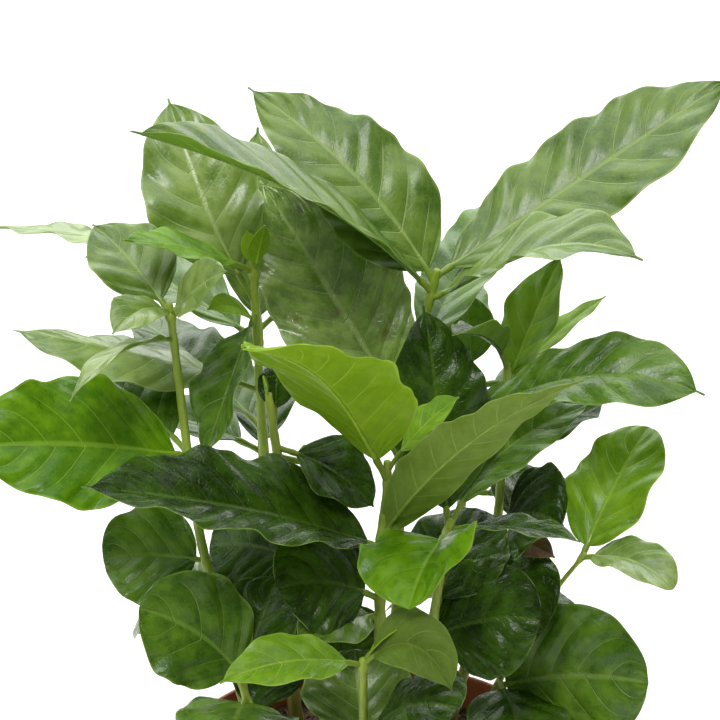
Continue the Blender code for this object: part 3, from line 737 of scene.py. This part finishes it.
def stemTube(seedling):
    # an even taper, with a flare at the soil, a knot at each pair of leaves and fine lengthwise ridges
    form = stemForm
    path = seedling["path"]
    soil, top = form["soil"], path[-1][2]
    heights = np.linspace(soil - form["below"], top, int((top - soil) / form["ring"]))
    share = np.clip((heights - soil) / (top - soil), 0, 1)
    radii = seedling["radius"] + (seedling.get("tip", form["tip"]) - seedling["radius"]) * share
    radii = radii * (1 + form["flare"] * np.exp(-np.clip(heights - soil, 0, None) / form["flareHeight"]))
    for _, leaves in massesOf(seedling):
        for leaf in leaves:
            off = (heights - leaf["height"] + form["knotDrop"]) / form["knotHeight"]
            radii = radii + form["knot"] / 2 * np.exp(-off ** 2)
    middle = stemPoint(path, np.maximum(heights, path[0][2]))
    middle[:, 2] = heights
    points, quads, slots, uv = tube(middle, radii, form["sides"])
    turn = uv[:, 0] * math.tau
    z = points[:, 2]
    centre = np.repeat(points.reshape(-1, form["sides"], 3).mean(1), form["sides"], axis=0)
    ridge = 1 + form["ridge"] * np.sin(form["ridges"] * turn + z * 0.2) * np.sin(z * 0.9 + turn)
    return centre + (points - centre) * ridge[:, None], quads, slots, uv


stems = arrayMesh("stems", [barkMaterial()], *joined([stemTube(seedling) for seedling in seedlings.values()]))
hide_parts(*[f"stem_{place}" for place in seedlings])
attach(stems, "root")
print("stems made")


# pot

potForm = {
    "height": 105.0, "rim": 60.0, "base": 42.5, "wall": 1.6, "floor": 2.2,
    "band": 14.0, "step": 2.6, "taper": 0.6,  # the rim band, how far it stands out, and how much it widens
    "lean": (0.05, 0.2),  # how far the lip leans in, below and at its top
    "foot": 0.8, "footRing": (5, 6),  # how high the base rises inside its foot ring, and where, from its edge
    "edge": 0.9, "round": 0.7,  # the bevel round the base, and the radius of every other edge
    "levels": (30, 60),  # heights where the wall has rings of its own
    "steps": 160, "pole": 0.02,  # points in a ring, and the radius of the one that closes the middle
    "drains": 6, "drainRadius": 3.5, "drainCircle": 27.0,
}


def innerRadius(z):
    # the inside of the straight wall, which widens evenly from the base to the rim band
    form = potForm
    grow = (form["rim"] - form["step"] - form["base"]) / (form["height"] - form["band"])
    return form["base"] - form["wall"] + grow * z


def turned(profile, steps):
    # a profile of radius and height carried once round the upright axis, as a grid of points
    profile = np.array(profile, float)
    turn = np.linspace(0, math.tau, steps, endpoint=False)
    return np.stack(np.broadcast_arrays(profile[:, :1] * np.cos(turn), profile[:, :1] * np.sin(turn),
                                        profile[:, 1:]), axis=-1)


def rounded(profile, radius, steps=5):
    # each corner of the profile as a short arc: a quadratic curve between points on its two arms
    profile = np.array(profile, float)
    out = [profile[0]]
    for before, corner, after in zip(profile[:-2], profile[1:-1], profile[2:]):
        a = before - corner
        b = after - corner
        reach = min(radius, np.linalg.norm(a) * 0.45, np.linalg.norm(b) * 0.45)
        start = corner + a / np.linalg.norm(a) * reach
        end = corner + b / np.linalg.norm(b) * reach
        t = np.linspace(0, 1, steps)[:, None]
        out.extend((1 - t) ** 2 * start + 2 * t * (1 - t) * corner + t**2 * end)
    out.append(profile[-1])
    return np.array(out)


plasticLook = {"light": (178, 98, 68), "dark": (164, 86, 58), "coarse": 30.0, "fine": 900.0, "rough": 0.42,
               "dust": (112, 78, 58)}


def plasticMaterial():
    # moulded terracotta plastic: even colour with faint clouding and a fine grain, dustier low down
    material, tree, shader, at = newMaterial("mouldedPlastic")
    effect = gritNode(tree, at["Object"], plasticLook)
    height = node(tree, "SeparateXYZ", Vector=at["Object"]).outputs[2]
    low = spread(tree, height, 0.0, 0.03, 0.6, 0.1)
    dust = times(tree, spread(tree, noise(tree, at["Object"], 70.0, 5.0), 0.45, 0.75), low)
    colour = mixed(tree, dust, effect.outputs["Color"], paint(*plasticLook["dust"]))
    rough = plus(tree, effect.outputs["Roughness"], times(tree, dust, 0.4))
    dressShader(tree, shader, effect, 0.12, 0.0004, colour, rough)
    return material


def makePot():
    # a wall that widens upwards, a rim band that stands out, rounded lips, a foot ring and drain holes
    form = potForm
    height, rim, base, wall, pole = (form[key] for key in ("height", "rim", "base", "wall", "pole"))
    shoulder = height - form["band"]
    low, high = form["levels"]
    footEdge, footTop = form["footRing"]
    leanLow, leanHigh = form["lean"]
    lip = height - wall
    profile = [
        (pole, form["foot"]), (base - footTop, form["foot"]), (base - footEdge, 0.0),
        (base - form["edge"], 0.0), (base, form["edge"]),
        (innerRadius(low) + wall, low), (innerRadius(high) + wall, high), (rim - form["step"], shoulder),
        (rim - form["taper"], shoulder), (rim - leanLow, lip), (rim - leanHigh, height),
        (rim - wall, height), (rim - wall - leanHigh, lip), (rim - form["taper"] - wall, shoulder + wall),
        (innerRadius(shoulder), shoulder), (innerRadius(high), high), (innerRadius(low), low),
        (innerRadius(form["floor"]), form["floor"]), (pole, form["floor"]),
    ]
    points = turned(rounded(profile, form["round"]), form["steps"])
    quads = ringQuads(len(points), form["steps"])[:, ::-1]
    piece = arrayMesh("nursery_pot", [plasticMaterial()], points.reshape(-1, 3), quads, sharp=50)
    drills = []
    for turn in np.arange(form["drains"]) * math.tau / form["drains"]:
        middle = np.array([math.cos(turn), math.sin(turn), 0]) * form["drainCircle"]
        ends = middle + np.array([[0, 0, -5.0], [0, 0, 9.0]])  # from below the pot to above its floor
        drills.append(tube(ends, np.full(2, form["drainRadius"]), 32))
    drill = arrayMesh("drill", [], *joined(drills)[:2])
    cut = piece.modifiers.new("drains", "BOOLEAN")
    cut.operation = "DIFFERENCE"
    cut.solver = "EXACT"
    cut.object = drill
    made = bpy.data.meshes.new_from_object(piece.evaluated_get(bpy.context.evaluated_depsgraph_get()))
    piece.modifiers.clear()
    piece.data = made
    bpy.data.objects.remove(drill)
    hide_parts("pot")
    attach(piece, "root")


makePot()
print("pot made")


# soil

soilForm = {
    "top": 96.3, "low": 2.5, "gap": 0.3,  # between it and the pot
    "steps": 260, "rings": 120,
    "edgeDip": 1.2,  # how much lower it lies at the wall
    "waves": [(34, 0.9), (19, 0.7), (11, 0.55), (6.4, 0.5), (3.8, 0.42), (2.3, 0.3)],  # length and height
    "highest": 98.6,  # nothing that lies on it reaches higher
    "crumbs": 2200, "crumbSize": (0.35, 1.5), "crumbStretch": (0.55, 1.0), "crumbJitter": 0.2,
    "fibres": 520, "fibreLength": (4, 16), "fibreRadius": (0.12, 0.32), "fibreBend": 1.2, "fibreLift": 0.5,
    "margins": (2.5, 9), "fibreEdge": 1.2,  # how far from the wall crumbs and fibres start, and fibres end
}
peatLook = {"light": (92, 62, 48), "dark": (44, 28, 22), "coarse": 180.0, "fine": 1400.0, "rough": 0.86,
            "speck": (150, 116, 88)}


def soilMaterial():
    # dark maroon peat with paler dry specks
    material, tree, shader, at = newMaterial("peat")
    effect = gritNode(tree, at["Object"], peatLook)
    speck = spread(tree, noise(tree, at["Object"], 900.0, 2.0), 0.66, 0.74)
    colour = mixed(tree, speck, effect.outputs["Color"], paint(*peatLook["speck"]))
    dressShader(tree, shader, effect, 0.9, 0.0012, colour)
    return material


soilWaves = [(length, share, rng.uniform(0, math.tau, (4, 2))) for length, share in soilForm["waves"]]


def soilHeight(x, y):
    # sine waves of many lengths and directions added up, lower and flatter towards the wall
    form = soilForm
    total = np.zeros(np.shape(x))
    for length, share, turns in soilWaves:
        for angle, phase in turns:
            run = (x * math.cos(angle) + y * math.sin(angle)) * math.tau / length
            total = total + share / 3 * np.sin(run + phase)
    edge = innerRadius(form["top"]) - form["gap"]
    out = np.clip(np.hypot(x, y) / edge, 0, 1) ** 6
    return form["top"] + total * (1 - 0.6 * out) - form["edgeDip"] * out


def makeSoil():
    # a plug that fills the pot: rings from the middle to the wall for its top, and the wall's cone below
    form = soilForm
    shoulder = potForm["height"] - potForm["band"]
    radius = np.linspace(0.003, 1, form["rings"]) * (innerRadius(shoulder) - form["gap"])
    top = turned(np.stack([radius, 0 * radius], axis=1), form["steps"])
    top[..., 2] = soilHeight(top[..., 0], top[..., 1])
    below = [(innerRadius(z) - form["gap"], z) for z in (shoulder, *potForm["levels"][::-1], form["low"])]
    side = turned([*below, (20, form["low"]), (0.1, form["low"])], form["steps"])
    points = np.concatenate([top, side])
    quads = ringQuads(len(points), form["steps"])
    piece = arrayMesh("peat_soil", [soilMaterial()], points.reshape(-1, 3), quads, sharp=80)
    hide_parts("soil")
    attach(piece, "root")


def scattered(count, margin):
    # places spread evenly over the soil's round top, with their heights
    radius = (innerRadius(soilForm["top"]) - margin) * np.sqrt(rng.uniform(0, 1, count))
    turn = rng.uniform(0, math.tau, count)
    x = radius * np.cos(turn)
    y = radius * np.sin(turn)
    return np.stack([x, y, soilHeight(x, y)], axis=1)


def makeCrumbs():
    # crumbs: each a cube, stretched, turned and with jittered corners
    form = soilForm
    count = form["crumbs"]
    corner = np.array([[x, y, z] for x in (-1, 1) for y in (-1, 1) for z in (-1, 1)], float)
    faces = np.array([[0, 1, 3, 2], [4, 6, 7, 5], [0, 4, 5, 1], [2, 3, 7, 6], [0, 2, 6, 4], [1, 5, 7, 3]])
    size = rng.uniform(*form["crumbSize"], (count, 1, 1)) * rng.uniform(*form["crumbStretch"], (count, 1, 3))
    shape = corner[None] * (0.58 + form["crumbJitter"] * rng.uniform(-1, 1, (count, 8, 3))) * size
    angle = rng.uniform(0, math.tau, (count, 1))
    cos, sin = np.cos(angle), np.sin(angle)
    shape = np.stack([shape[..., 0] * cos - shape[..., 1] * sin, shape[..., 0] * sin + shape[..., 1] * cos,
                      shape[..., 2]], axis=-1)
    place = scattered(count, form["margins"][0])[:, None]
    points = (shape + place + np.array([0, 0, 0.1])).reshape(-1, 3)
    points[:, 2] = np.minimum(points[:, 2], form["highest"])
    quads = (faces[None] + 8 * np.arange(count)[:, None, None]).reshape(-1, 4)
    piece = arrayMesh("soil_crumbs", [soilMaterial()], points, quads, sharp=35)
    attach(piece, "root")


def makeFibres():
    # root and bark fibres: thin tubes that lie on the soil, each with one gentle bend
    form = soilForm
    parts = []
    for place in scattered(form["fibres"], form["margins"][1]):
        length = rng.uniform(*form["fibreLength"])
        heading = rng.uniform(0, math.tau)
        bend = rng.uniform(-form["fibreBend"], form["fibreBend"])
        t = np.linspace(-0.5, 0.5, 7)
        turn = heading + bend * t
        path = np.stack([place[0] + np.cos(turn) * length * t, place[1] + np.sin(turn) * length * t], axis=1)
        out = np.hypot(path[:, 0], path[:, 1])
        path *= np.minimum(1, (innerRadius(form["top"]) - form["fibreEdge"]) / out)[:, None]
        z = soilHeight(path[:, 0], path[:, 1]) + 0.25 + rng.uniform(0, form["fibreLift"])
        path = np.concatenate([path, np.minimum(z, form["highest"])[:, None]], axis=1)
        parts.append(tube(path, rng.uniform(*form["fibreRadius"]) * (1 - 1.2 * t**2), 5))
    look = {"light": (186, 150, 112), "dark": (110, 78, 52), "coarse": 60.0, "fine": 900.0, "rough": 0.8,
            "bump": 0.3}
    piece = arrayMesh("soil_fibres", [gritMaterial("dryFibre", look)], *joined(parts))
    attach(piece, "root")


makeSoil()
makeCrumbs()
makeFibres()
print("soil made")


# floor, light and camera

studio = {
    "sky": 0.14,
    "floor": 12.0,  # metres wide
    "lamps": [
        # name, place, size, what it points at, power
        ("overhead", (0.0, 0.45, 1.50), (2.2, 1.8), (0, 0.35, 0.0), 22.0),
        ("key", (-0.25, -0.85, 1.45), (0.55, 0.55), (0, 0, 0.22), 12.5),
        ("backFloor", (0.0, 1.5, 1.0), (2.6, 1.4), (0, 1.0, 0.0), 34.0),
        ("left", (-1.8, 0.2, 0.9), (1.0, 1.0), (0, 0, 0.2), 5.0),
        ("right", (1.8, 0.3, 0.9), (1.0, 1.0), (0, 0, 0.2), 4.0),
    ],
    "eye": (-3, -791, 534),
    "aim": (-3, 0, 235.5),
    "lens": 141.5,
    "sensor": 36.0,
}


def makeFloor():
    # a level sheet whose grain is a faint noise, far wider than the view
    half = studio["floor"] * 500
    steps = np.linspace(-half, half, 9)
    x, y = np.meshgrid(steps, steps, indexing="ij")
    index = np.arange(81).reshape(9, 9)
    quads = np.stack([index[:-1, :-1], index[1:, :-1], index[1:, 1:], index[:-1, 1:]], axis=-1).reshape(-1, 4)
    points = np.stack([x, y, 0 * x], axis=-1).reshape(-1, 3)
    look = {"light": (250, 250, 250), "dark": (246, 246, 246), "coarse": 3.0, "fine": 40.0, "rough": 0.75,
            "bump": 0.0}
    arrayMesh("paleFloor", [gritMaterial("palePaper", look)], points, quads)


def makeLamps():
    for name, place, size, target, power in studio["lamps"]:
        data = bpy.data.lights.new(name, "AREA")
        data.shape = "RECTANGLE"
        data.size, data.size_y = size
        data.energy = power
        lamp = bpy.data.objects.new(name, data)
        lamp.location = place
        lamp.rotation_euler = (Vector(target) - Vector(place)).to_track_quat("-Z", "Y").to_euler()
        lamp.visible_camera = False
        bpy.context.scene.collection.objects.link(lamp)
    world = bpy.data.worlds.new("softRoom")
    world.use_nodes = True
    world.node_tree.nodes["Background"].inputs["Color"].default_value = (1, 1, 1, 1)
    world.node_tree.nodes["Background"].inputs["Strength"].default_value = studio["sky"]
    bpy.context.scene.world = world
    bpy.context.scene.view_settings.view_transform = "Standard"


def makeCamera():
    data = bpy.data.cameras.new("camera")
    data.lens = studio["lens"]
    data.sensor_width = studio["sensor"]
    data.clip_end = 100
    camera = bpy.data.objects.new("camera", data)
    eye, aim = Vector(studio["eye"]) * mm, Vector(studio["aim"]) * mm
    camera.location = eye
    camera.rotation_euler = (aim - eye).to_track_quat("-Z", "Y").to_euler()
    bpy.context.scene.collection.objects.link(camera)
    bpy.context.scene.camera = camera


makeFloor()
makeLamps()
makeCamera()
print("floor, lamps and camera placed")
